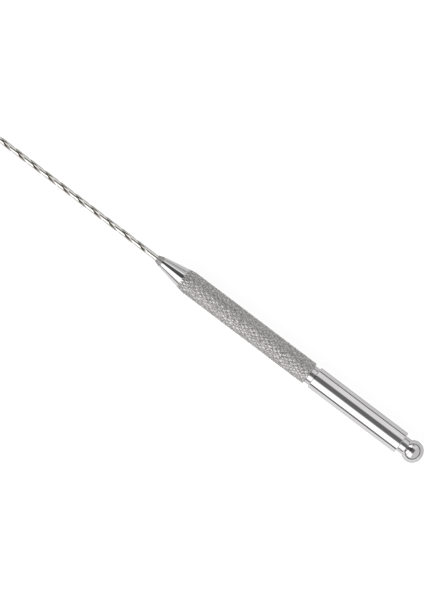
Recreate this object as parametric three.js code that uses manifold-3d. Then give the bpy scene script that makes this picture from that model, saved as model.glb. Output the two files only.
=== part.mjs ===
// A clutch scriber: a fluted steel needle held by a sprung collet in a plated, knurled handle.
//
// Millimetres, +Z up. The tool lies along X with its point towards -X, on the plane z = 0, and the
// origin is under the middle of its length. Every piece shares one axis. Places along that axis are
// "stations", counted from the collet's front end and growing towards the ball button.

import * as THREE from 'three';
import * as BufferGeometryUtils from 'three/addons/utils/BufferGeometryUtils.js';
import Module from 'manifold-3d';

const wasm = await Module();
wasm.setup();

// ---- driving dimensions -------------------------------------------------------------------------

// Needle
const POINT_LENGTH = 16;
const NEEDLE_EXPOSED = 96.3;
const SHANK_HELD = 20;
const SHANK_RADIUS = 1.175;
const POINT_TIP_RADIUS = 0.05;

// Flutes: two helical grooves. Angles are counted round the needle. A flute is deepest near its
// steep wall, and its lead is the one at the collet, less a little for every millimetre ahead of it.
const FLUTES = 2;
const FLUTE_LEAD = 14.73;
const LEAD_TIGHTENING = 0.019;
const FLUTE_PHASE_DEGREES = 69;
const HALF_MOUTH_DEGREES = 40;
const DEEPEST_SHARE = 0.85;
const WALL_CURVE = 1.4;
const FLUTE_DEPTH_SHARE = 0.5;
const FLUTE_REAR = -4.3;
const FLUTE_RUN_OUT = 4;

// Collet
const COLLET_LENGTH = 22;
const COLLET_LIP_RADIUS = 1.3;
const COLLET_HEAD_RADIUS = 2.04;
const HEAD_EDGE = 0.12;
const HEAD_STEP = 0.14;
const COLLET_WAIST_RADIUS = 1.66;
const COLLET_TAIL_RADIUS = 1.6;
const TAIL_OVERHANG = 0.4;
const COLLET_BORE = 1.2;
const COLLET_JAWS = 3;
const SLIT_WIDTH = 0.35;
const SLIT_LENGTH = 12;

// Grip sleeve
const NOSE_FRONT = 2.2;
const NOSE_RADIUS = 2.1;
const CONE_END = 14.6;
const GRIP_END = 70.3;
const GRIP_RADIUS = 4.5;
const GRIP_BORE = 3.25;
const SEAT_DEPTH = 4;
const SEAT_GAP = 0.04;
const SEAT_RELIEF = 1;
const BORE_TAPER = 3;

// Core tube, whose collar shows as the front neck
const CORE_FRONT = 44;
const CORE_END = 90;
const COLLAR_RADIUS = 3.63;
const CORE_BORE = 2.66;
const SPRING_SEAT_THICKNESS = 2;

// Barrel and its rear bush
const BARREL_FRONT = 72.45;
const BARREL_END = 112.5;
const BARREL_RADIUS = 4.4;
const BARREL_BORE = 3.35;
const BUSH_FRONT = 98;
const BUSH_RADIUS = 3.82;
const BUSH_RECESS = 0.1;
const EDGE_CHAMFER = 0.25;

// Push tube with its head, and the parts it carries
const TUBE_FRONT = 14.3;
const TUBE_END = 105.8;
const TUBE_RADIUS = 1.95;
const TUBE_BORE = 1.36;
const TUBE_HEAD_RADIUS = 2.45;
const TUBE_HEAD_END = 24;
const TUBE_HEAD_CHAMFER = 0.5;
const WASHER_FRONT = 64;
const WASHER_THICKNESS = 0.6;
const CLIP_THICKNESS = 0.6;
const CLIP_RADIUS = 2.5;
const CLIP_OPENING_DEGREES = 70;
const GROOVE_RADIUS = 1.66;

// Return spring
const WIRE_RADIUS = 0.22;
const COIL_RADIUS = 2.32;
const WORKING_COILS = 8;
const DEAD_COILS = 1;
const DEAD_PITCH = 0.52;

// Ball button
const BUTTON_FRONT = 100;
const BUTTON_NECK_RADIUS = 3.2;
const BALL_RADIUS = 4.3;
const BALL_HALF_LENGTH = 4.1;
const BALL_CENTRE = 117.65;
const NEEDLE_WELL_END = 118.6;

// Clearances
const RUNNING_GAP = 0.05;
const SEATED_GAP = 0.03;

// Facets around a turned piece. An even spread over four quarters puts a flat underneath it.
const FACETS = 24;
const NEEDLE_FACETS = 24;
const NEEDLE_RINGS_PER_LEAD = 24;
const BALL_STEPS = 10;
const WIRE_FACETS = 6;
const SPRING_STEPS_PER_COIL = 14;

// How far a cutting blade reaches past what it cuts, and how close two corners count as one
const BLADE_OVERSHOOT = 1;
const WELD_DISTANCE = 1e-4;

// ---- derived dimensions -------------------------------------------------------------------------

const POINT_STATION = -NEEDLE_EXPOSED;
const POINT_END = POINT_STATION + POINT_LENGTH;
const REAR_STATION = BALL_CENTRE + BALL_HALF_LENGTH;
const MIDDLE_STATION = (POINT_STATION + REAR_STATION) / 2;
const TUBE_SOCKET_END = COLLET_LENGTH + SEATED_GAP;
const CLIP_FRONT = WASHER_FRONT + WASHER_THICKNESS + SEATED_GAP;
const CLIP_END = CLIP_FRONT + CLIP_THICKNESS;

// ---- materials ----------------------------------------------------------------------------------

const metal = (colour, roughness) => new THREE.MeshStandardMaterial({
  color: colour,
  roughness,
  metalness: 1,
});

const BRIGHT_STEEL = 0xb9b7b2;
const PLATE = 0xd9dadb;
const KNURL_PLATE = 0xc9c8c4;
const DULL_STEEL = 0x77767a;
const SPRING_STEEL = 0x8e9094;
const BRONZE = 0xb08a55;

// ---- shared shapes ------------------------------------------------------------------------------

// Turns a closed outline of [station, radius] points about the axis. Each facet's middle lies at the
// stated radius, so flats and not corners carry the size. The outline runs along the outside from
// front to rear, then back through the bore.
function turned(outline, facets = FACETS) {
  const growth = 1 / Math.cos(Math.PI / facets);
  const points = outline.map(([station, radius]) => new THREE.Vector2(radius * growth, station));
  const closes = outline[0][1] > 0;
  if (closes) {
    points.push(points[0].clone());
  }
  const geometry = new THREE.LatheGeometry(points, facets, Math.PI / facets);
  return geometry.rotateZ(-Math.PI / 2);
}

function cleaned(geometry) {
  const bare = geometry.clone();
  bare.deleteAttribute('normal');
  bare.deleteAttribute('uv');
  return BufferGeometryUtils.mergeVertices(bare, WELD_DISTANCE);
}

function toSolid(geometry) {
  const bare = cleaned(geometry);
  return new wasm.Manifold(new wasm.Mesh({
    numProp: 3,
    vertProperties: new Float32Array(bare.attributes.position.array),
    triVerts: new Uint32Array(bare.index.array),
  }));
}

function toGeometry(solid) {
  const mesh = solid.getMesh();
  const geometry = new THREE.BufferGeometry();
  geometry.setAttribute('position', new THREE.BufferAttribute(new Float32Array(mesh.vertProperties), 3));
  geometry.setIndex(new THREE.BufferAttribute(new Uint32Array(mesh.triVerts), 1));
  geometry.computeVertexNormals();
  return geometry;
}

// ---- needle -------------------------------------------------------------------------------------

// How deep a flute is cut at an angle counted from its middle: 0 on the lands and 1 at its deepest.
function fluteCut(angle) {
  const share = 2 * Math.PI / FLUTES;
  const fromMiddle = THREE.MathUtils.euclideanModulo(angle + share / 2, share) - share / 2;
  const across = fromMiddle / THREE.MathUtils.degToRad(HALF_MOUTH_DEGREES);
  if (Math.abs(across) >= 1) {
    return 0;
  }
  const wall = across < DEEPEST_SHARE ? 1 + DEEPEST_SHARE : 1 - DEEPEST_SHARE;
  return 1 - (Math.abs(across - DEEPEST_SHARE) / wall) ** WALL_CURVE;
}

// How much of the flutes' full depth is cut at a station. They run out at both ends.
function fluteDepth(station) {
  const frontStart = POINT_STATION + POINT_LENGTH / 2;
  const rise = THREE.MathUtils.smoothstep(station, frontStart, POINT_END + FLUTE_RUN_OUT);
  const fall = THREE.MathUtils.smoothstep(station, FLUTE_REAR - FLUTE_RUN_OUT, FLUTE_REAR);
  return FLUTE_DEPTH_SHARE * (rise - fall);
}

// How far the flutes have turned at a station, counted from the collet's front end.
function fluteTurn(station) {
  const ahead = -Math.min(station, FLUTE_REAR);
  const lead = FLUTE_LEAD - LEAD_TIGHTENING * ahead;
  const phase = THREE.MathUtils.degToRad(FLUTE_PHASE_DEGREES);
  return phase + 2 * Math.PI / LEAD_TIGHTENING * Math.log(lead / FLUTE_LEAD);
}

function needleStations() {
  const stations = [POINT_STATION];
  const first = POINT_STATION + POINT_LENGTH / 2;
  const count = Math.round((FLUTE_REAR - first) / (FLUTE_LEAD / NEEDLE_RINGS_PER_LEAD));
  for (let i = 0; i <= count; i += 1) {
    stations.push(THREE.MathUtils.lerp(first, FLUTE_REAR, i / count));
  }
  stations.push(SHANK_HELD);
  return stations;
}

function roundRadius(station) {
  const tapered = (station - POINT_STATION) / POINT_LENGTH;
  return THREE.MathUtils.lerp(POINT_TIP_RADIUS, SHANK_RADIUS, Math.min(1, tapered));
}

// A rod of radius 1 is made first. Then every corner off the axis goes to its place on the needle.
function needleGeometry() {
  const outline = needleStations().map((station) => new THREE.Vector2(1, station));
  outline.unshift(new THREE.Vector2(0, POINT_STATION));
  outline.push(new THREE.Vector2(0, SHANK_HELD));
  const geometry = new THREE.LatheGeometry(outline, NEEDLE_FACETS).rotateZ(-Math.PI / 2);
  const places = geometry.attributes.position;
  const place = new THREE.Vector3();
  for (let i = 0; i < places.count; i += 1) {
    place.fromBufferAttribute(places, i);
    const onRod = Math.round(Math.hypot(place.y, place.z)) === 1;
    if (onRod) {
      const angle = Math.atan2(place.z, place.y);
      const station = place.x;
      const radius = roundRadius(station) * (1 - fluteDepth(station) * fluteCut(angle));
      const direction = angle + fluteTurn(station);
      places.setXYZ(i, station, radius * Math.cos(direction), radius * Math.sin(direction));
    }
  }
  return geometry;
}

// ---- clutch: collet, push tube, washer, clip, spring ----------------------------------------------

// Radius of the collet's closing taper, which is drawn back into the nose.
function taperRadius(station) {
  const along = (station - NOSE_FRONT) / SEAT_DEPTH;
  return THREE.MathUtils.lerp(COLLET_HEAD_RADIUS - HEAD_STEP, COLLET_WAIST_RADIUS, along);
}

function colletGeometry() {
  const headEnd = NOSE_FRONT - RUNNING_GAP;
  const seatEnd = NOSE_FRONT + SEAT_DEPTH;
  const tailFront = TUBE_FRONT - TAIL_OVERHANG;
  const body = toSolid(turned([
    [0, COLLET_LIP_RADIUS],
    [headEnd - HEAD_EDGE, COLLET_HEAD_RADIUS],
    [headEnd, COLLET_HEAD_RADIUS],
    [headEnd, taperRadius(headEnd)],
    [seatEnd, COLLET_WAIST_RADIUS],
    [tailFront, COLLET_WAIST_RADIUS],
    [tailFront, COLLET_TAIL_RADIUS],
    [COLLET_LENGTH, COLLET_TAIL_RADIUS],
    [COLLET_LENGTH, COLLET_BORE],
    [0, COLLET_BORE],
  ]));
  const reach = 2 * COLLET_HEAD_RADIUS;
  let jaws = body;
  for (let i = 0; i < COLLET_JAWS; i += 1) {
    const slit = new THREE.BoxGeometry(SLIT_LENGTH + BLADE_OVERSHOOT, SLIT_WIDTH, reach);
    slit.translate((SLIT_LENGTH - BLADE_OVERSHOOT) / 2, 0, reach / 2);
    slit.rotateX(2 * Math.PI * (i + 0.5) / COLLET_JAWS);
    jaws = jaws.subtract(toSolid(slit));
  }
  return toGeometry(jaws);
}

function pushTubeGeometry() {
  const socket = COLLET_TAIL_RADIUS + SEATED_GAP;
  const grooveFront = CLIP_FRONT - SEATED_GAP;
  const grooveEnd = CLIP_END + SEATED_GAP;
  return turned([
    [TUBE_FRONT, TUBE_HEAD_RADIUS],
    [TUBE_HEAD_END, TUBE_HEAD_RADIUS],
    [TUBE_HEAD_END + TUBE_HEAD_CHAMFER, TUBE_RADIUS],
    [grooveFront, TUBE_RADIUS],
    [grooveFront, GROOVE_RADIUS],
    [grooveEnd, GROOVE_RADIUS],
    [grooveEnd, TUBE_RADIUS],
    [TUBE_END, TUBE_RADIUS],
    [TUBE_END, TUBE_BORE],
    [TUBE_SOCKET_END, TUBE_BORE],
    [TUBE_SOCKET_END, socket],
    [TUBE_FRONT, socket],
  ]);
}

function washerGeometry() {
  const outer = CORE_BORE - RUNNING_GAP;
  const inner = TUBE_RADIUS + RUNNING_GAP;
  return turned([
    [WASHER_FRONT, outer],
    [WASHER_FRONT + WASHER_THICKNESS, outer],
    [WASHER_FRONT + WASHER_THICKNESS, inner],
    [WASHER_FRONT, inner],
  ]);
}

// An open retaining clip: a C of flat spring steel that snaps into the tube's groove.
function clipGeometry() {
  const opening = THREE.MathUtils.degToRad(CLIP_OPENING_DEGREES);
  const inner = (GROOVE_RADIUS + SEATED_GAP) / Math.cos(Math.PI / FACETS);
  const start = opening / 2;
  const end = 2 * Math.PI - opening / 2;
  const shape = new THREE.Shape();
  shape.absarc(0, 0, CLIP_RADIUS, start, end, false);
  shape.absarc(0, 0, inner, end, start, true);
  shape.closePath();
  const geometry = new THREE.ExtrudeGeometry(shape, {
    depth: CLIP_THICKNESS,
    curveSegments: FACETS,
    bevelEnabled: false,
  });
  return geometry.rotateY(Math.PI / 2).translate(CLIP_FRONT, 0, 0);
}

// Centre line of the return spring: a helix with a closed coil at each end.
class SpringLine extends THREE.Curve {
  constructor(front, rear) {
    super();
    this.front = front;
    this.rear = rear;
    this.coils = WORKING_COILS + 2 * DEAD_COILS;
  }

  getPoint(t, target = new THREE.Vector3()) {
    const coil = t * this.coils;
    const dead = DEAD_COILS * DEAD_PITCH;
    const open = this.rear - this.front - 2 * dead;
    const working = THREE.MathUtils.clamp(coil - DEAD_COILS, 0, WORKING_COILS);
    const closed = Math.min(coil, DEAD_COILS) + Math.max(0, coil - DEAD_COILS - WORKING_COILS);
    const station = this.front + closed * DEAD_PITCH + open * working / WORKING_COILS;
    const angle = 2 * Math.PI * coil;
    return target.set(station, COIL_RADIUS * Math.cos(angle), COIL_RADIUS * Math.sin(angle));
  }
}

function springGeometry() {
  const margin = WIRE_RADIUS + RUNNING_GAP;
  const line = new SpringLine(CORE_FRONT + SPRING_SEAT_THICKNESS + margin, WASHER_FRONT - margin);
  const section = new THREE.Shape();
  section.absarc(0, 0, WIRE_RADIUS, 0, 2 * Math.PI, false);
  return new THREE.ExtrudeGeometry(section, {
    extrudePath: line,
    steps: line.coils * SPRING_STEPS_PER_COIL,
    curveSegments: WIRE_FACETS,
    bevelEnabled: false,
  });
}

// ---- handle: grip sleeve, core, barrel, bush ------------------------------------------------------

function gripGeometry() {
  const seatEnd = NOSE_FRONT + SEAT_DEPTH;
  const reliefEnd = TUBE_FRONT - BORE_TAPER;
  return turned([
    [NOSE_FRONT, NOSE_RADIUS],
    [CONE_END, GRIP_RADIUS],
    [GRIP_END - EDGE_CHAMFER, GRIP_RADIUS],
    [GRIP_END, GRIP_RADIUS - EDGE_CHAMFER],
    [GRIP_END, GRIP_BORE],
    [TUBE_FRONT, GRIP_BORE],
    [reliefEnd, TUBE_HEAD_RADIUS],
    [seatEnd + SEAT_RELIEF, TUBE_RADIUS],
    [seatEnd, COLLET_WAIST_RADIUS + SEAT_GAP],
    [NOSE_FRONT, taperRadius(NOSE_FRONT) + SEAT_GAP],
  ]);
}

function coreGeometry() {
  const frontRadius = GRIP_BORE - SEATED_GAP;
  const rearRadius = BARREL_BORE - SEATED_GAP;
  const seatRear = CORE_FRONT + SPRING_SEAT_THICKNESS;
  const guide = TUBE_RADIUS + RUNNING_GAP;
  return turned([
    [CORE_FRONT, frontRadius],
    [GRIP_END + SEATED_GAP, frontRadius],
    [GRIP_END + SEATED_GAP, COLLAR_RADIUS],
    [BARREL_FRONT - SEATED_GAP, COLLAR_RADIUS],
    [BARREL_FRONT - SEATED_GAP, rearRadius],
    [CORE_END, rearRadius],
    [CORE_END, CORE_BORE],
    [seatRear, CORE_BORE],
    [seatRear, guide],
    [CORE_FRONT, guide],
  ]);
}

function barrelGeometry() {
  const bushBore = BUSH_RADIUS + SEATED_GAP;
  return turned([
    [BARREL_FRONT, BARREL_RADIUS - EDGE_CHAMFER],
    [BARREL_FRONT + EDGE_CHAMFER, BARREL_RADIUS],
    [BARREL_END - EDGE_CHAMFER, BARREL_RADIUS],
    [BARREL_END, BARREL_RADIUS - EDGE_CHAMFER],
    [BARREL_END, bushBore],
    [BUSH_FRONT, bushBore],
    [BUSH_FRONT, BARREL_BORE],
    [BARREL_FRONT, BARREL_BORE],
  ]);
}

function bushGeometry() {
  const inner = BUTTON_NECK_RADIUS + RUNNING_GAP;
  const front = BUSH_FRONT + SEATED_GAP;
  const rear = BARREL_END - BUSH_RECESS;
  return turned([
    [front, BUSH_RADIUS],
    [rear, BUSH_RADIUS],
    [rear, inner],
    [front, inner],
  ]);
}

// ---- ball button --------------------------------------------------------------------------------

function buttonGeometry() {
  const socket = TUBE_RADIUS + SEATED_GAP;
  const socketEnd = TUBE_END + SEATED_GAP;
  const neckAngle = Math.asin(BUTTON_NECK_RADIUS / BALL_RADIUS);
  const outline = [
    [NEEDLE_WELL_END, 0],
    [NEEDLE_WELL_END, TUBE_BORE],
    [socketEnd, TUBE_BORE],
    [socketEnd, socket],
    [BUTTON_FRONT, socket],
    [BUTTON_FRONT, BUTTON_NECK_RADIUS],
  ];
  for (let i = 0; i < BALL_STEPS; i += 1) {
    const angle = THREE.MathUtils.lerp(neckAngle, Math.PI, i / BALL_STEPS);
    const station = BALL_CENTRE - BALL_HALF_LENGTH * Math.cos(angle);
    outline.push([station, BALL_RADIUS * Math.sin(angle)]);
  }
  outline.push([REAR_STATION, 0]);
  return turned(outline);
}

// ---- assembly -----------------------------------------------------------------------------------

const tool = new THREE.Group();
tool.position.set(-MIDDLE_STATION, 0, GRIP_RADIUS);

function add(name, geometry, material) {
  const mesh = new THREE.Mesh(geometry, material);
  mesh.name = name;
  tool.add(mesh);
}

add('scriber_needle', needleGeometry(), metal(BRIGHT_STEEL, 0.25));
add('clutch_collet', colletGeometry(), metal(DULL_STEEL, 0.5));
add('push_tube', pushTubeGeometry(), metal(SPRING_STEEL, 0.35));
add('thrust_washer', washerGeometry(), metal(SPRING_STEEL, 0.35));
add('retaining_clip', clipGeometry(), metal(SPRING_STEEL, 0.4));
add('return_spring', springGeometry(), metal(SPRING_STEEL, 0.3));
add('knurled_grip', gripGeometry(), metal(KNURL_PLATE, 0.3));
add('core_tube', coreGeometry(), metal(PLATE, 0.15));
add('smooth_barrel', barrelGeometry(), metal(PLATE, 0.08));
add('rear_bush', bushGeometry(), metal(BRONZE, 0.35));
add('ball_button', buttonGeometry(), metal(PLATE, 0.08));

export default tool;
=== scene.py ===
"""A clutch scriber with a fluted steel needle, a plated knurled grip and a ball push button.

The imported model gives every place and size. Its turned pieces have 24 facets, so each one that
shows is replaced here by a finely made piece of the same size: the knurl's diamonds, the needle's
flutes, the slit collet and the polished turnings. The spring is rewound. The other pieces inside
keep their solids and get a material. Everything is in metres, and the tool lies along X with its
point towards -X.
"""

import math

import bpy
import numpy as np
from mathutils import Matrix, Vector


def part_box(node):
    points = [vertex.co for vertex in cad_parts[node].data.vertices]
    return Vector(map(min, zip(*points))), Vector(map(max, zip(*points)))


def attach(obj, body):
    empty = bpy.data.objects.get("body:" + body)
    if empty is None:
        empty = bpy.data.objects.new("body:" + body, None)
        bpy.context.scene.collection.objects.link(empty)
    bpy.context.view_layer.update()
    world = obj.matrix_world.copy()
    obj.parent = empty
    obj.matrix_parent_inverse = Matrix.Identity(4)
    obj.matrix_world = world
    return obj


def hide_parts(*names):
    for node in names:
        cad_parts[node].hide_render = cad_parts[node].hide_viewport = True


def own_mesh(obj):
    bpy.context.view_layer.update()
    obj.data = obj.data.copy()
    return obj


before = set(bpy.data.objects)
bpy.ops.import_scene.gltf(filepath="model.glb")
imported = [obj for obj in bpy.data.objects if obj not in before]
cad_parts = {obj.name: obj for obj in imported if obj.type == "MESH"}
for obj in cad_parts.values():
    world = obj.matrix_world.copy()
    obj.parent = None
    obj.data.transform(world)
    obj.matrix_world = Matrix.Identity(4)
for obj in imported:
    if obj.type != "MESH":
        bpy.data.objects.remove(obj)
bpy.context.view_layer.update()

MM = 0.001

# ---- driving sizes that the solids don't carry, in metres ------------------------------------------

# Knurl: two crossing sets of V grooves rolled into the grip
KNURL_STARTS = 18
KNURL_AXIAL_PITCH = 2.5 * MM
KNURL_DEPTH = 0.21 * MM
KNURL_CELLS = 14
KNURL_CREST = 0.72
KNURL_WANDER = 0.35
KNURL_RUN_OUT = 3.3 * MM
KNURL_BITE_LENGTH = 1.8 * MM
KNURL_REAR_BAND = 0.45 * MM
KNURL_GRAIN = 1500
KNURL_GRAIN_DEPTH = 0.06 * MM
KNURL_CREST_ROUGHNESS = 0.33
KNURL_GROOVE_ROUGHNESS = 0.5
KNURL_CREST_COLOUR = (0.505, 0.492, 0.487)
# The knurl's darker colour, painted into its groove bottoms as shade and into random patches as grime
KNURL_GROOVE_SHADE_COLOUR = (0.205, 0.198, 0.192)

# Needle
SHANK_RADIUS = 1.175 * MM
POINT_LENGTH = 16 * MM
POINT_TIP_RADIUS = 0.05 * MM
FLUTES = 2
FLUTE_LEAD = 14.73 * MM
FLUTE_TIGHTENING = 0.019
FLUTE_PHASE = math.radians(69)
FLUTE_HALF_MOUTH = math.radians(40)
FLUTE_DEEPEST = 0.85
FLUTE_CURVE = 1.4
FLUTE_DEPTH = 0.5
FLUTE_REAR = 4.2 * MM
FLUTE_RUN_OUT = 2 * MM
NEEDLE_SIDES = 96

# Nose, collet and handle
NOSE_RADIUS = 2.1 * MM
CONE_LENGTH = 12.4 * MM
COLLET_LIP_RADIUS = 1.3 * MM
COLLET_BORE = 1.2 * MM
COLLET_WAIST = 1.66 * MM
COLLET_SEAT = 4 * MM
COLLET_GAP = 0.06 * MM
COLLET_TAIL = 8 * MM
COLLET_JAWS = 3
SLIT_WIDTH = 0.35 * MM
SLIT_LENGTH = 12 * MM
NECK_RADIUS = 3.2 * MM
BALL_HALF_LENGTH = 4.1 * MM
BALL_FILLET = 0.12 * MM
NECK_CHAMFER = 0.1 * MM
SOCKET_RADIUS = 1.98 * MM
WELL_RADIUS = 1.36 * MM
WELL_FLOOR = 3.15 * MM
CORE_BORE = 2.66 * MM
CORE_FRONT_RADIUS = 3.22 * MM
CORE_REAR_RADIUS = 3.32 * MM
GRIP_BORE = 3.25 * MM
GRIP_BORE_STEP = 0.9 * MM
GRIP_BORE_END = 26 * MM
GRIP_STEP_END = 30 * MM
BARREL_BORE = 3.35 * MM
BARREL_COUNTERBORE = 3.85 * MM
BARREL_FRONT_CHAMFER = 0.22 * MM
BARREL_REAR_CHAMFER = 0.25 * MM
RUNNING_GAP = 0.05 * MM
SEATED_GAP = 0.03 * MM
SIDES = 192

# Return spring
WIRE_RADIUS = 0.22 * MM
WORKING_COILS = 8
DEAD_COILS = 1
DEAD_PITCH = 0.52 * MM
STEPS_PER_COIL = 48
WIRE_SIDES = 16

# The picture: its long side covers this much of the bench, seen from straight above
PICTURE_HEIGHT = 220.4 * MM
BALL_TO_MIDDLE = 96.4 * MM
TOOL_SLOPE = math.radians(37.1)
LENS = 800
SENSOR = 36


# ---- meshes ----------------------------------------------------------------------------------------

AXIS_Z = sum(corner[2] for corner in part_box("knurled_grip")) / 2


def radius_of(node):
    low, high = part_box(node)
    return (high[1] - low[1]) / 2


def ends_of(node):
    low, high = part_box(node)
    return low[0], high[0]


def make_object(name, verts, faces, sharp_angle=35):
    mesh = bpy.data.meshes.new(name)
    mesh.from_pydata(verts, [], faces)
    mesh.validate()
    mesh.shade_smooth()
    mesh.set_sharp_from_angle(angle=math.radians(sharp_angle))
    piece = bpy.data.objects.new(name, mesh)
    bpy.context.scene.collection.objects.link(piece)
    return piece


def wrapped(name, rings, closed, sharp_angle=35):
    """Joins rings of points that run round the axis. Each ring is (stations, radii, angles), all of
    one length. A closed skin joins its last ring to its first, and an open one is capped. Where a
    face isn't flat it is split along its lower diagonal, which keeps grooves sharp."""
    count = len(rings[0][2])
    grid = []
    for stations, radii, angles in rings:
        stations = np.broadcast_to(stations, count)
        radii = np.broadcast_to(radii, count)
        grid.append(np.stack([stations, radii * np.cos(angles), radii * np.sin(angles), radii], axis=1))
    grid = np.array(grid)
    number = np.arange(len(grid) * count).reshape(len(grid), count)
    if closed:
        number = np.vstack([number, number[:1]])
    flat = grid.reshape(-1, 4)
    here, there = number[:-1], number[1:]
    a, b = here.ravel(), np.roll(here, -1, axis=1).ravel()
    d, c = there.ravel(), np.roll(there, -1, axis=1).ravel()
    height = flat[:, 3]
    across = (height[a] + height[c]) <= (height[b] + height[d])
    first = np.where(across[:, None], np.stack([a, b, c], 1), np.stack([a, b, d], 1))
    second = np.where(across[:, None], np.stack([a, c, d], 1), np.stack([b, c, d], 1))
    faces = np.vstack([first, second]).tolist()
    verts = (flat[:, :3] + np.array([0, 0, AXIS_Z])).tolist()
    if not closed:
        for ring, flip in ((number[0], True), (number[-1], False)):
            middle = np.mean([verts[i] for i in ring], axis=0).tolist()
            verts.append(middle)
            hub = len(verts) - 1
            for i, j in zip(ring.tolist(), np.roll(ring, -1).tolist()):
                faces.append([j, i, hub] if flip else [i, j, hub])
    return make_object(name, verts, faces, sharp_angle)


def softened(corners, steps=6):
    """An outline from (station, radius, rounding) corners, with each rounding made a curve."""
    points = []
    count = len(corners)
    for i, (x, r, rounding) in enumerate(corners):
        here = np.array([x, r])
        if rounding <= 0 or i in (0, count - 1):
            points.append((x, r))
            continue
        before = np.array(corners[i - 1][:2]) - here
        after = np.array(corners[i + 1][:2]) - here
        start = here + before / np.linalg.norm(before) * rounding
        end = here + after / np.linalg.norm(after) * rounding
        for t in np.linspace(0, 1, steps + 1):
            spot = (1 - t) ** 2 * start + 2 * t * (1 - t) * here + t ** 2 * end
            points.append((spot[0], spot[1]))
    return points


def turned(name, outline, closed=True, sides=SIDES, sharp_angle=35):
    angles = np.linspace(0, 2 * math.pi, sides, endpoint=False)
    rings = [(x, r, angles) for x, r in outline]
    return wrapped(name, rings, closed, sharp_angle)


# ---- pieces ----------------------------------------------------------------------------------------

def flute_profile(base):
    """How deep the needle's section is cut at each angle, from 0 on the lands to 1."""
    share = 2 * math.pi / FLUTES
    from_middle = np.mod(base + share / 2, share) - share / 2
    u = from_middle / FLUTE_HALF_MOUTH
    long_wall = 1 - np.abs((u - FLUTE_DEEPEST) / (1 + FLUTE_DEEPEST)) ** FLUTE_CURVE
    steep_wall = 1 - np.abs((u - FLUTE_DEEPEST) / (1 - FLUTE_DEEPEST)) ** FLUTE_CURVE
    cut = np.where(u < FLUTE_DEEPEST, long_wall, steep_wall)
    return np.where(np.abs(u) < 1, cut, 0)


def smooth_rise(x, low, high):
    t = np.clip((x - low) / (high - low), 0, 1)
    return t * t * (3 - 2 * t)


def needle_rings():
    point, tail = ends_of("scriber_needle")
    collet_front = ends_of("clutch_collet")[0]
    cone_end = point + POINT_LENGTH
    flute_rear = collet_front - FLUTE_REAR
    stations = np.concatenate([
        point + POINT_LENGTH * np.linspace(0, 1, 24) ** 1.3,
        np.arange(cone_end, flute_rear, FLUTE_LEAD / 96)[1:],
        np.linspace(flute_rear, tail - 0.3 * MM, 60),
        [tail],
    ])
    base = np.linspace(0, 2 * math.pi, NEEDLE_SIDES, endpoint=False)
    cut = flute_profile(base)
    rings = []
    for x in stations:
        depth = FLUTE_DEPTH * (smooth_rise(x, point + POINT_LENGTH / 2, cone_end + FLUTE_RUN_OUT)
                               - smooth_rise(x, flute_rear - FLUTE_RUN_OUT, flute_rear))
        taper = min(1, (x - point) / POINT_LENGTH)
        plain = POINT_TIP_RADIUS + (SHANK_RADIUS - POINT_TIP_RADIUS) * taper
        if x == tail:
            plain = SHANK_RADIUS - 0.25 * MM
        ahead = collet_front - min(x, flute_rear)
        lead = FLUTE_LEAD - FLUTE_TIGHTENING * ahead
        turn = FLUTE_PHASE + 2 * math.pi / FLUTE_TIGHTENING * math.log(lead / FLUTE_LEAD)
        rings.append((x, plain * (1 - depth * cut), base + turn))
    return rings


def make_needle():
    return wrapped("fluted_needle", needle_rings(), closed=False, sharp_angle=32)


def make_collet():
    front, rear = ends_of("clutch_collet")
    head = radius_of("clutch_collet")
    mouth = ends_of("knurled_grip")[0]
    outline = softened([
        (front, COLLET_BORE, 0),
        (front, COLLET_LIP_RADIUS, 0.04 * MM),
        (mouth - 0.1 * MM, head, 0.06 * MM),
        (mouth - 0.05 * MM, head - 0.14 * MM, 0),
        (mouth + COLLET_SEAT, COLLET_WAIST, 0.5 * MM),
        (rear - COLLET_TAIL, COLLET_WAIST, 0),
        (rear - COLLET_TAIL, COLLET_WAIST - COLLET_GAP, 0),
        (rear, COLLET_WAIST - COLLET_GAP, 0),
        (rear, COLLET_BORE, 0),
    ])
    collet = turned("slit_collet", outline, sides=96)
    for i in range(COLLET_JAWS):
        reach = 2 * head
        box = make_object("slit_cutter", *slit_box(front, reach, 2 * math.pi * (i + 0.5) / COLLET_JAWS))
        cut = collet.modifiers.new("slit", "BOOLEAN")
        cut.operation = "DIFFERENCE"
        cut.solver = "EXACT"
        cut.object = box
        depsgraph = bpy.context.evaluated_depsgraph_get()
        mesh = bpy.data.meshes.new_from_object(collet.evaluated_get(depsgraph))
        collet.modifiers.clear()
        collet.data = mesh
        bpy.data.objects.remove(box)
    return collet


def slit_box(front, reach, turn):
    """The eight corners and six faces of one slit's cutting blade, turned about the tool's axis."""
    half = SLIT_WIDTH / 2
    verts = []
    for x in (front - MM, front + SLIT_LENGTH):
        for y in (-half, half):
            for z in (0, reach):
                side = y * math.cos(turn) - z * math.sin(turn)
                up = y * math.sin(turn) + z * math.cos(turn)
                verts.append((x, side, up + AXIS_Z))
    faces = [(0, 1, 3, 2), (4, 6, 7, 5), (0, 4, 5, 1), (2, 3, 7, 6), (0, 2, 6, 4), (1, 5, 7, 3)]
    return verts, faces


def knurl_depth(x, angles, start):
    """How far the knurl's surface lies under its crests. The rolls wander a little, as they do on a
    long handle, so no two diamonds are quite alike."""
    along = (x - start) / KNURL_AXIAL_PITCH
    around = angles * KNURL_STARTS / (2 * math.pi)
    depth = np.zeros_like(angles)
    for hand in (1, -1):
        wander = KNURL_WANDER * (math.sin(1.7 * along + hand) * math.sin(0.43 * along)
                                 + np.sin(3 * angles + 0.9 * along * hand))
        groove = 1 - np.abs(2 * np.mod(around + hand * along + 0.3 * wander, 1) - 1)
        crest = KNURL_CREST - 0.3 * wander * np.sin(2 * angles + 1.1 * along)
        depth = np.maximum(depth, 1 - groove / crest)
    return KNURL_DEPTH * np.clip(depth, 0, 1)


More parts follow.
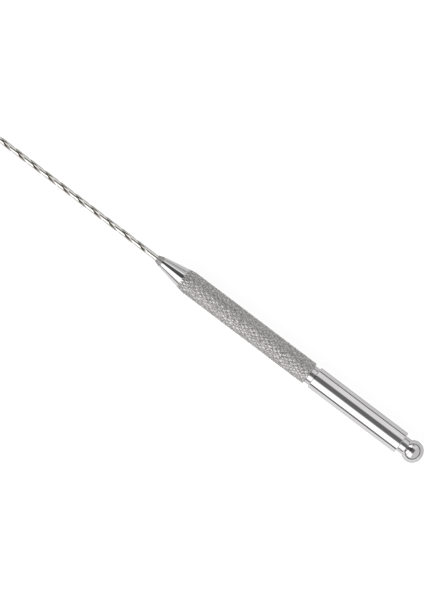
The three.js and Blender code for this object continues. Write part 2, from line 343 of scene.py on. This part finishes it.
def cone_slope():
    return (radius_of("knurled_grip") - NOSE_RADIUS) / CONE_LENGTH


def knurl_front():
    """Where the knurl's grooves run out into the nose cone."""
    return ends_of("knurled_grip")[0] + CONE_LENGTH - KNURL_RUN_OUT


def make_grip():
    front, rear = ends_of("knurled_grip")
    crest = radius_of("knurled_grip")
    core_front = ends_of("core_tube")[0]
    slope = cone_slope()
    rolled_front = knurl_front()
    columns = KNURL_STARTS * KNURL_CELLS
    angles = np.linspace(0, 2 * math.pi, columns, endpoint=False)
    rings = [
        (front + COLLET_SEAT, COLLET_WAIST + COLLET_GAP, angles),
        (front, NOSE_RADIUS - 0.17 * MM, angles),
        (front, NOSE_RADIUS - 0.05 * MM, angles),
        (front + 0.04 * MM, NOSE_RADIUS, angles),
        (front + 0.07 * MM, NOSE_RADIUS + 0.07 * MM * slope, angles),
    ]
    for x in np.linspace(front, rolled_front, 14)[1:]:
        rings.append((x, NOSE_RADIUS + slope * (x - front), angles))
    step = KNURL_AXIAL_PITCH / KNURL_CELLS
    band_front = rear - KNURL_REAR_BAND
    for x in np.arange(rolled_front + step, band_front, step):
        plain = min(crest, NOSE_RADIUS + slope * (x - front))
        bite = smooth_rise(x, rolled_front, rolled_front + KNURL_BITE_LENGTH)
        rings.append((x, plain - bite * knurl_depth(x, angles, rolled_front), angles))
    valley = crest - 0.55 * KNURL_DEPTH
    for x, radius in softened([
        (band_front, valley, 0),
        (rear, valley, 0.12 * MM),
        (rear, GRIP_BORE, 0),
    ]):
        rings.append((x, radius, angles))
    rings.append((core_front - GRIP_BORE_END, GRIP_BORE, angles))
    rings.append((core_front - GRIP_STEP_END, GRIP_BORE - GRIP_BORE_STEP, angles))
    return wrapped("diamond_grip", rings, closed=True, sharp_angle=80)


def make_core():
    front, rear = ends_of("core_tube")
    collar = radius_of("core_tube")
    grip_rear = ends_of("knurled_grip")[1]
    barrel_front = ends_of("smooth_barrel")[0]
    outline = softened([
        (front, CORE_BORE, 0),
        (front, CORE_FRONT_RADIUS, 0.1 * MM),
        (grip_rear + SEATED_GAP, CORE_FRONT_RADIUS, 0),
        (grip_rear + SEATED_GAP, collar, 0.08 * MM),
        (barrel_front - SEATED_GAP, collar, 0.08 * MM),
        (barrel_front - SEATED_GAP, CORE_REAR_RADIUS, 0),
        (rear, CORE_REAR_RADIUS, 0.1 * MM),
        (rear, CORE_BORE, 0),
    ])
    return turned("neck_tube", outline)


def make_barrel():
    front, rear = ends_of("smooth_barrel")
    radius = radius_of("smooth_barrel")
    bush_front = ends_of("rear_bush")[0]
    outline = softened([
        (front, BARREL_BORE, 0),
        (front, radius - BARREL_FRONT_CHAMFER, 0.05 * MM),
        (front + BARREL_FRONT_CHAMFER, radius, 0.05 * MM),
        (rear - BARREL_REAR_CHAMFER, radius, 0.1 * MM),
        (rear, radius - BARREL_REAR_CHAMFER, 0.1 * MM),
        (rear, BARREL_COUNTERBORE, 0),
        (bush_front, BARREL_COUNTERBORE, 0),
        (bush_front, BARREL_BORE, 0),
    ])
    return turned("bright_barrel", outline)


def make_bush():
    front, rear = ends_of("rear_bush")
    radius = radius_of("rear_bush")
    inner = NECK_RADIUS + RUNNING_GAP
    outline = softened([
        (front, inner, 0),
        (front, radius, 0.1 * MM),
        (rear, radius, 0.1 * MM),
        (rear, inner, 0.15 * MM),
        (front + 0.2 * MM, inner, 0),
    ])
    return turned("guide_bush", outline)


def make_button():
    front, rear = ends_of("ball_button")
    radius = radius_of("ball_button")
    centre = rear - BALL_HALF_LENGTH
    neck_angle = math.asin(NECK_RADIUS / radius)
    well_floor = rear - WELL_FLOOR
    socket_end = ends_of("push_tube")[1] + SEATED_GAP
    outline = [
        (well_floor, 0.2 * WELL_RADIUS),
        (well_floor, WELL_RADIUS),
        (socket_end, WELL_RADIUS),
        (socket_end, SOCKET_RADIUS),
        (front, SOCKET_RADIUS),
        (front, NECK_RADIUS - NECK_CHAMFER),
        (front + NECK_CHAMFER, NECK_RADIUS),
    ]
    ball = [(centre - BALL_HALF_LENGTH * math.cos(t), radius * math.sin(t))
            for t in np.linspace(neck_angle, math.pi - 0.01, 60)]
    meet = ball[0][0]
    start = np.array([meet - BALL_FILLET, NECK_RADIUS])
    corner = np.array([meet, NECK_RADIUS])
    after = [p for p in ball if math.hypot(p[0] - meet, p[1] - NECK_RADIUS) > BALL_FILLET]
    end = np.array(after[0])
    for t in np.linspace(0, 1, 9):
        spot = (1 - t) ** 2 * start + 2 * t * (1 - t) * corner + t ** 2 * end
        outline.append((spot[0], spot[1]))
    outline += after[1:]
    return turned("ball_end", outline, closed=False)


def make_spring():
    """A compression spring of round wire, with one closed coil at each end."""
    low, high = ends_of("return_spring")
    front, rear = low + WIRE_RADIUS, high - WIRE_RADIUS
    coil_radius = radius_of("return_spring") - WIRE_RADIUS
    coils = WORKING_COILS + 2 * DEAD_COILS
    coil = np.linspace(0, coils, coils * STEPS_PER_COIL + 1)
    working = np.clip(coil - DEAD_COILS, 0, WORKING_COILS)
    pitch = (rear - front - 2 * DEAD_COILS * DEAD_PITCH) / WORKING_COILS
    along = front + (coil - working) * DEAD_PITCH + working * pitch
    turn = 2 * math.pi * coil
    radial = np.stack([np.zeros_like(turn), np.cos(turn), np.sin(turn)], axis=1)
    on_axis = np.stack([along, np.zeros_like(turn), np.full_like(turn, AXIS_Z)], axis=1)
    centre = on_axis + coil_radius * radial
    tangent = np.gradient(centre, axis=0)
    side = np.cross(tangent, radial)
    side /= np.linalg.norm(side, axis=1)[:, None]
    around = np.linspace(0, 2 * math.pi, WIRE_SIDES, endpoint=False)[None, :, None]
    outward = np.cos(around) * radial[:, None] + np.sin(around) * side[:, None]
    points = centre[:, None] + WIRE_RADIUS * outward
    number = np.arange(len(coil) * WIRE_SIDES).reshape(len(coil), WIRE_SIDES)
    beside = np.roll(number, -1, axis=1)
    faces = np.stack([number[:-1], beside[:-1], beside[1:], number[1:]], axis=2).reshape(-1, 4).tolist()
    faces.append(number[0][::-1].tolist())
    faces.append(number[-1].tolist())
    return make_object("wound_spring", points.reshape(-1, 3).tolist(), faces, sharp_angle=60)


def squeeze_spring(spring):
    """Gives the spring a mesh of its own."""
    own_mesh(spring)


# ---- materials -------------------------------------------------------------------------------------

PLATE_EDGE_TINT = (0.72, 0.72, 0.72, 1)
PLATE_DARKER = (0.515, 0.503, 0.508)
PLATE_LIGHTER = (0.555, 0.545, 0.55)
CONE_DARKER = (0.475, 0.464, 0.469)
CONE_LIGHTER = (0.51, 0.50, 0.505)
BALL_TONE = 0.945
NECK_DARKER_TONE = 0.9
SATIN_ROUGHNESS = 0.11


def new_material(name):
    material = bpy.data.materials.new(name)
    material.use_nodes = True
    tree = material.node_tree
    shader = tree.nodes["Principled BSDF"]
    shader.inputs["Metallic"].default_value = 1.0
    return material, tree, shader


def node(tree, kind, **settings):
    made = tree.nodes.new(kind)
    for key, value in settings.items():
        setattr(made, key, value)
    return made


def place_axes(tree, kind="Object"):
    """The X, Y and Z of the place on a piece, in metres, or of the direction in the sky."""
    coords = node(tree, "ShaderNodeTexCoord")
    split = node(tree, "ShaderNodeSeparateXYZ")
    tree.links.new(coords.outputs[kind], split.inputs["Vector"])
    return split.outputs["X"], split.outputs["Y"], split.outputs["Z"]


def scaled_place(tree, scale):
    """The place on the piece, in metres, stretched by a scale along each direction."""
    coords = node(tree, "ShaderNodeTexCoord")
    mapping = node(tree, "ShaderNodeMapping")
    mapping.inputs["Scale"].default_value = scale
    tree.links.new(coords.outputs["Object"], mapping.inputs["Vector"])
    return mapping.outputs["Vector"]


def noise(tree, scale, detail=3.0, roughness=0.5):
    made = node(tree, "ShaderNodeTexNoise")
    made.inputs["Scale"].default_value = 1.0
    made.inputs["Detail"].default_value = detail
    made.inputs["Roughness"].default_value = roughness
    tree.links.new(scaled_place(tree, scale), made.inputs["Vector"])
    return made.outputs["Fac"]


def ranged(tree, value, low, high, to_low, to_high, smooth=False):
    made = node(tree, "ShaderNodeMapRange")
    if smooth:
        made.interpolation_type = "SMOOTHSTEP"
    for key, number in (("From Min", low), ("From Max", high), ("To Min", to_low), ("To Max", to_high)):
        made.inputs[key].default_value = number
    tree.links.new(value, made.inputs["Value"])
    return made.outputs["Result"]


def math_node(tree, operation, first, second=None):
    made = node(tree, "ShaderNodeMath", operation=operation)
    for socket, value in zip(made.inputs, (first, second)):
        if value is None:
            continue
        if isinstance(value, (int, float)):
            socket.default_value = value
        else:
            tree.links.new(value, socket)
    return made.outputs["Value"]


def mixed(tree, factor, first, second):
    made = node(tree, "ShaderNodeMix", data_type="RGBA")
    tree.links.new(factor, made.inputs["Factor"])
    for socket, value in ((made.inputs[6], first), (made.inputs[7], second)):
        if isinstance(value, tuple):
            socket.default_value = (*value, 1)
        else:
            tree.links.new(value, socket)
    return made.outputs[2]


def blended(tree, factor, first, second):
    made = node(tree, "ShaderNodeMix", data_type="FLOAT")
    for socket, value in zip(made.inputs[:1] + made.inputs[2:4], (factor, first, second)):
        tree.links.new(value, socket)
    return made.outputs[0]


def axis_distance(tree):
    """Distance of the surface from the tool's axis, in metres."""
    _, y, z = place_axes(tree)
    up = math_node(tree, "SUBTRACT", z, AXIS_Z)
    squares = math_node(tree, "ADD",
                        math_node(tree, "MULTIPLY", y, y),
                        math_node(tree, "MULTIPLY", up, up))
    return math_node(tree, "SQRT", squares)


def bump(tree, shader, height, distance, strength=1.0, below=None):
    made = node(tree, "ShaderNodeBump")
    made.inputs["Strength"].default_value = strength
    made.inputs["Distance"].default_value = distance
    tree.links.new(height, made.inputs["Height"])
    if below is not None:
        tree.links.new(below, made.inputs["Normal"])
    tree.links.new(made.outputs["Normal"], shader.inputs["Normal"])
    return made.outputs["Normal"]


def toned(colour, tone):
    return tuple(part * tone for part in colour)


def polished_plate(name, tone=1.0, satin_to=None):
    """Mirror-bright nickel plate with faint buffing lines round the tool and a slight haze. A neck
    that lies ahead of satin_to is only fine turned, so it is a little rougher, and its colour is a
    little darker."""
    material, tree, shader = new_material(name)
    cloud = ranged(tree, noise(tree, (120, 120, 120), detail=4), 0.3, 0.7, 0, 1)
    colour = mixed(tree, cloud, toned(PLATE_DARKER, tone), toned(PLATE_LIGHTER, tone))
    lines = noise(tree, (9000, 60, 60), detail=2)
    haze = noise(tree, (300, 900, 900), detail=5, roughness=0.7)
    rough = math_node(tree, "ADD",
                      ranged(tree, lines, 0.35, 0.75, 0.02, 0.06),
                      ranged(tree, haze, 0.45, 0.8, 0.0, 0.05))
    if satin_to is not None:
        x = place_axes(tree)[0]
        satin = ranged(tree, x, satin_to - 0.1 * MM, satin_to + 0.1 * MM, 1, 0)
        darker_neck_colour = mixed(tree, cloud, toned(PLATE_DARKER, NECK_DARKER_TONE), toned(PLATE_LIGHTER, NECK_DARKER_TONE))
        colour = mixed(tree, satin, colour, darker_neck_colour)
        rough = math_node(tree, "ADD", rough, math_node(tree, "MULTIPLY", satin, SATIN_ROUGHNESS))
    tree.links.new(colour, shader.inputs["Base Color"])
    tree.links.new(rough, shader.inputs["Roughness"])
    shader.inputs["Specular Tint"].default_value = PLATE_EDGE_TINT
    waves = noise(tree, (260, 180, 180), detail=1)
    soft = bump(tree, shader, waves, 0.02 * MM, strength=0.25)
    bump(tree, shader, lines, 0.002 * MM, strength=0.35, below=soft)
    return material


def knurled_plate(crest):
    """The same plate over the grip: mirror-bright where the nose cone is uncut, and over the knurl
    bright crests above rougher grooves, whose colour is darkened towards their bottoms as painted
    shade, with random patches of grime over it."""
    material, tree, shader = new_material("knurled_nickel")
    behind_nose = math_node(tree, "SUBTRACT", place_axes(tree)[0], ends_of("knurled_grip")[0])
    cone = math_node(tree, "ADD", math_node(tree, "MULTIPLY", behind_nose, cone_slope()), NOSE_RADIUS)
    distance = axis_distance(tree)
    on_knurl = ranged(tree, math_node(tree, "SUBTRACT", cone, distance), 0.01 * MM, 0.07 * MM, 0, 1)
    # Painted shade: the colour darkens towards the groove bottoms, broken up by grain, and random grime
    # patches are added
    painted_groove_shade = ranged(tree, distance, crest - KNURL_DEPTH, crest - 0.04 * MM, 1, 0)
    grain = noise(tree, (KNURL_GRAIN, KNURL_GRAIN, KNURL_GRAIN), detail=5, roughness=0.65)
    lines = noise(tree, (9000, 60, 60), detail=2)
    patchy_groove_shade = math_node(tree, "MULTIPLY", painted_groove_shade, ranged(tree, grain, 0.3, 0.7, 0.35, 1.0))
    groove_shade_and_grime = math_node(tree, "MAXIMUM", patchy_groove_shade, ranged(tree, grain, 0.46, 0.6, 0, 0.9))
    painted_shade_and_grime = math_node(tree, "MULTIPLY", groove_shade_and_grime, on_knurl)
    smooth = mixed(tree, ranged(tree, grain, 0.3, 0.7, 0, 1), CONE_DARKER, CONE_LIGHTER)
    rolled = mixed(tree, painted_shade_and_grime, KNURL_CREST_COLOUR, KNURL_GROOVE_SHADE_COLOUR)
    tree.links.new(mixed(tree, on_knurl, smooth, rolled), shader.inputs["Base Color"])
    rough = math_node(tree, "ADD",
                      ranged(tree, painted_shade_and_grime, 0, 1, KNURL_CREST_ROUGHNESS, KNURL_GROOVE_ROUGHNESS),
                      ranged(tree, grain, 0.4, 0.8, 0, 0.12))
    shine = ranged(tree, lines, 0.35, 0.75, 0.02, 0.06)
    tree.links.new(blended(tree, on_knurl, shine, rough), shader.inputs["Roughness"])
    height = math_node(tree, "MULTIPLY", grain, on_knurl)
    bump(tree, shader, height, KNURL_GRAIN_DEPTH)
    return material


def needle_steel(radius):
    """Ground tool steel: bright lands, and flutes dark and brownish, partly from hardening scale and
    partly as painted shade that deepens into the flutes.
    """
    material, tree, shader = new_material("fluted_tool_steel")
    streaks = noise(tree, (350, 2600, 2600), detail=5, roughness=0.6)
    # Painted shade and scale: the colour darkens and browns with depth into the flutes, partly
    # hardening scale and partly standing in for the shade there
    cut = ranged(tree, axis_distance(tree), 0.62 * radius, 0.97 * radius, 1, 0)
    scale = math_node(tree, "MULTIPLY", cut, ranged(tree, streaks, 0.3, 0.65, 0.5, 1))
    specks = ranged(tree, streaks, 0.58, 0.7, 0, 0.35)
    dark = math_node(tree, "MAXIMUM", scale, specks)
    colour = mixed(tree, dark, (0.56, 0.55, 0.53), (0.20, 0.175, 0.15))
    tree.links.new(colour, shader.inputs["Base Color"])
    tree.links.new(ranged(tree, dark, 0, 1, 0.03, 0.28), shader.inputs["Roughness"])
    bump(tree, shader, streaks, 0.008 * MM, strength=0.3)
    return material


def collet_steel():
    """Unplated hardened steel, dull and mottled."""
    material, tree, shader = new_material("dull_collet_steel")
    mottle = noise(tree, (1800, 1800, 1800), detail=5, roughness=0.65)
    patches = ranged(tree, mottle, 0.35, 0.65, 0, 1)
    colour = mixed(tree, patches, (0.25, 0.242, 0.238), (0.41, 0.40, 0.39))
    tree.links.new(colour, shader.inputs["Base Color"])
    tree.links.new(ranged(tree, mottle, 0.3, 0.7, 0.42, 0.58), shader.inputs["Roughness"])
    bump(tree, shader, mottle, 0.02 * MM, strength=0.6)
    return material


def bush_bronze():
    material, tree, shader = new_material("sintered_bronze")
    grains = noise(tree, (6000, 6000, 6000), detail=4)
    colour = mixed(tree, ranged(tree, grains, 0.35, 0.65, 0, 1), (0.50, 0.32, 0.15), (0.66, 0.46, 0.25))
    tree.links.new(colour, shader.inputs["Base Color"])
    tree.links.new(ranged(tree, grains, 0.3, 0.7, 0.3, 0.5), shader.inputs["Roughness"])
    bump(tree, shader, grains, 0.01 * MM, strength=0.5)
    return material


def inner_steel():
    material, tree, shader = new_material("turned_inner_steel")
    rings = noise(tree, (8000, 80, 80), detail=3)
    colour = mixed(tree, ranged(tree, rings, 0.3, 0.7, 0, 1), (0.42, 0.42, 0.43), (0.56, 0.56, 0.57))
    tree.links.new(colour, shader.inputs["Base Color"])
    tree.links.new(ranged(tree, rings, 0.3, 0.7, 0.22, 0.38), shader.inputs["Roughness"])
    bump(tree, shader, rings, 0.006 * MM, strength=0.5)
    return material


# ---- assembly --------------------------------------------------------------------------------------

def place(piece, body, replaced, material):
    piece.data.materials.clear()
    piece.data.materials.append(material)
    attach(piece, body)
    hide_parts(replaced)


def dress(name, material):
    solid = bpy.data.objects[name]
    for slot in solid.material_slots:
        slot.material = material


def build_tool():
    neck_angle = math.asin(NECK_RADIUS / radius_of("ball_button"))
    ball_front = ends_of("ball_button")[1] - BALL_HALF_LENGTH * (1 + math.cos(neck_angle))
    place(make_needle(), "needle", "scriber_needle", needle_steel(SHANK_RADIUS))
    place(make_collet(), "clutch", "clutch_collet", collet_steel())
    place(make_grip(), "handle", "knurled_grip",
          knurled_plate(radius_of("knurled_grip")))
    place(make_core(), "handle", "core_tube",
          polished_plate("satin_nickel", satin_to=ends_of("core_tube")[1]))
    place(make_barrel(), "handle", "smooth_barrel", polished_plate("polished_nickel"))
    place(make_bush(), "handle", "rear_bush", bush_bronze())
    place(make_button(), "clutch", "ball_button",
          polished_plate("button_nickel", tone=BALL_TONE, satin_to=ball_front))
    inside = inner_steel()
    spring = make_spring()
    place(spring, "handle", "return_spring", inside)
    squeeze_spring(spring)
    for name in ("push_tube", "thrust_washer", "retaining_clip"):
        dress(name, inside)


# ---- studio ----------------------------------------------------------------------------------------

FLOOR_HALF_WIDTH = 30
FLOOR_COLOUR = (0.15, 0.15, 0.15, 1)
# The floor's emission is painted light and shade: brighter on the -Y side, under the softbox, and
# dimmer on the +Y side, where the tool's shade falls
FLOOR_PAINTED_GLOW = (1.17, 0.88)
FLOOR_PAINTED_GLOW_EDGES = (-12 * MM, 8 * MM)

SKY_STRENGTH = 2.05
BACKDROP = (0.49, 0.49, 0.49)
BALL_END_PANEL = (0.5, 0.5, 0.5)
OVERHEAD_GAP = (0.08, 0.08, 0.08)

# The sky's brightness by how far it leans from overhead across the tool, in degrees: level with the
# tool, towards its point, and furthest towards its point
SKY_BESIDE = [
    (-90, 0.55), (-76, 0.60), (-40, 0.62), (-33, 0.56), (-25, 0.115), (5, 0.115), (14, 0.2),
    (25, 1.25), (60, 1.25), (68, 1.0), (74, 0.3), (90, 0.3),
]
SKY_FORWARD = [
    (-90, 0.55), (-74, 0.38), (-60, 0.46), (-50, 0.48), (-44, 0.75), (-34, 0.75), (-29, 0.07),
    (12, 0.07), (19, 1.2), (60, 1.2), (70, 0.6), (90, 0.6),
]
SKY_AHEAD = [
    (-90, 0.4), (-62, 0.4), (-52, 1.2), (-32, 1.2), (-26, 0.07), (14, 0.07), (20, 1.2), (60, 1.2),
    (70, 0.6), (90, 0.6),
]


def make_floor():
    half = FLOOR_HALF_WIDTH
    mesh = bpy.data.meshes.new("floor")
    corners = [(-half, -half, 0), (half, -half, 0), (half, half, 0), (-half, half, 0)]
    mesh.from_pydata(corners, [], [(0, 1, 2, 3)])
    floor = bpy.data.objects.new("floor", mesh)
    bpy.context.scene.collection.objects.link(floor)
    material = bpy.data.materials.new("floor_painted_light")
    material.use_nodes = True
    tree = material.node_tree
    shader = tree.nodes["Principled BSDF"]
    shader.inputs["Base Color"].default_value = FLOOR_COLOUR
    shader.inputs["Roughness"].default_value = 0.9
    shader.inputs["Specular IOR Level"].default_value = 0.0
    shader.inputs["Emission Color"].default_value = (1, 1, 1, 1)
    y = place_axes(tree)[1]
    # Painted light and shade: the floor's emission is stronger towards -Y and weaker towards +Y
    painted_glow = ranged(tree, y, *FLOOR_PAINTED_GLOW_EDGES, *FLOOR_PAINTED_GLOW, smooth=True)
    tree.links.new(painted_glow, shader.inputs["Emission Strength"])
    mesh.materials.append(material)


def ramp(tree, value, stops):
    """Brightness along a half turn of the sky, from stops of (degrees, level)."""
    made = node(tree, "ShaderNodeValToRGB")
    points = made.color_ramp.elements
    while len(points) < len(stops):
        points.new(0.5)
    for point, (degrees, level) in zip(points, stops):
        point.position = 0.5 + degrees / 180
        point.color = (level, level, level, 1)
    tree.links.new(value, made.inputs["Fac"])
    return made.outputs["Color"]


def make_studio():
    """A soft studio painted on the sky: a wide white softbox on one side of the tool, a grey panel on
    the other, the dark gap between them overhead, and a dark line along the horizon. The camera
    itself sees a plain pale backdrop."""
    world = bpy.data.worlds.new("studio")
    bpy.context.scene.world = world
    world.use_nodes = True
    tree = world.node_tree
    background = tree.nodes["Background"]
    x, y, z = place_axes(tree, "Generated")
    lean = math_node(tree, "ARCTAN2", math_node(tree, "MULTIPLY", y, -1), z)
    across = ranged(tree, lean, -math.pi / 2, math.pi / 2, 0, 1)

    # Panels, from level with the tool to the far end of its point's side
    tip_side = ranged(tree, x, -0.14, -0.3, 0, 1, smooth=True)
    far_tip_side = ranged(tree, x, -0.44, -0.56, 0, 1, smooth=True)
    ball_side = ranged(tree, x, 0.22, 0.34, 0, 1, smooth=True)
    nearer = mixed(tree, tip_side, ramp(tree, across, SKY_BESIDE), ramp(tree, across, SKY_FORWARD))
    lights = mixed(tree, far_tip_side, nearer, ramp(tree, across, SKY_AHEAD))
    room = mixed(tree, ball_side, lights, BALL_END_PANEL)

    # The dark gap overhead, which stays one width towards the point
    off_middle = math_node(tree, "ABSOLUTE", math_node(tree, "SUBTRACT", y, 0.03))
    overhead = ranged(tree, off_middle, 0.19, 0.25, 1, 0, smooth=True)
    room = mixed(tree, math_node(tree, "MULTIPLY", overhead, far_tip_side), room, OVERHEAD_GAP)

    # Shading over it: dark horizon, lighter towards one corner, a seam between panels, a dark corner
    horizon = ranged(tree, z, 0.12, 0.25, 0.05, 1, smooth=True)
    lit_corner = math_node(tree, "MULTIPLY", tip_side, ranged(tree, y, 0, 0.2, 0, 0.5))
    line = math_node(tree, "MAXIMUM", horizon, lit_corner)
    off_seam = math_node(tree, "ABSOLUTE", math_node(tree, "ADD", x, 0.48))
    seam = ranged(tree, off_seam, 0.03, 0.08, 0.5, 1)
    corner = math_node(tree, "MULTIPLY", ranged(tree, x, -0.82, -0.72, 0.75, 0),
                       ranged(tree, y, -0.2, -0.1, 1, 0))
    shade = math_node(tree, "MULTIPLY", seam, math_node(tree, "SUBTRACT", 1, corner))
    line = math_node(tree, "MULTIPLY", line, shade)
    shaded = node(tree, "ShaderNodeMix", data_type="RGBA", blend_type="MULTIPLY")
    shaded.inputs["Factor"].default_value = 1
    tree.links.new(room, shaded.inputs[6])
    tree.links.new(line, shaded.inputs[7])

    rays = node(tree, "ShaderNodeLightPath")
    seen = mixed(tree, rays.outputs["Is Camera Ray"], shaded.outputs[2], BACKDROP)
    tree.links.new(seen, background.inputs["Color"])
    background.inputs["Strength"].default_value = SKY_STRENGTH


def make_camera():
    """Straight above the tool, a long way up, and turned so that the tool slopes down to its ball."""
    camera_data = bpy.data.cameras.new("camera")
    camera_data.lens = LENS
    camera_data.sensor_width = SENSOR
    camera = bpy.data.objects.new("camera", camera_data)
    bpy.context.scene.collection.objects.link(camera)
    height = PICTURE_HEIGHT * LENS / SENSOR
    middle = (ends_of("ball_button")[1] - BALL_TO_MIDDLE, -0.04 * MM)
    camera.location = (*middle, AXIS_Z + height)
    camera.rotation_euler = (0, 0, TOOL_SLOPE)
    camera_data.clip_end = 4 * height
    bpy.context.scene.camera = camera


make_camera()
make_floor()
make_studio()
build_tool()
bpy.context.scene.view_settings.view_transform = "Standard"
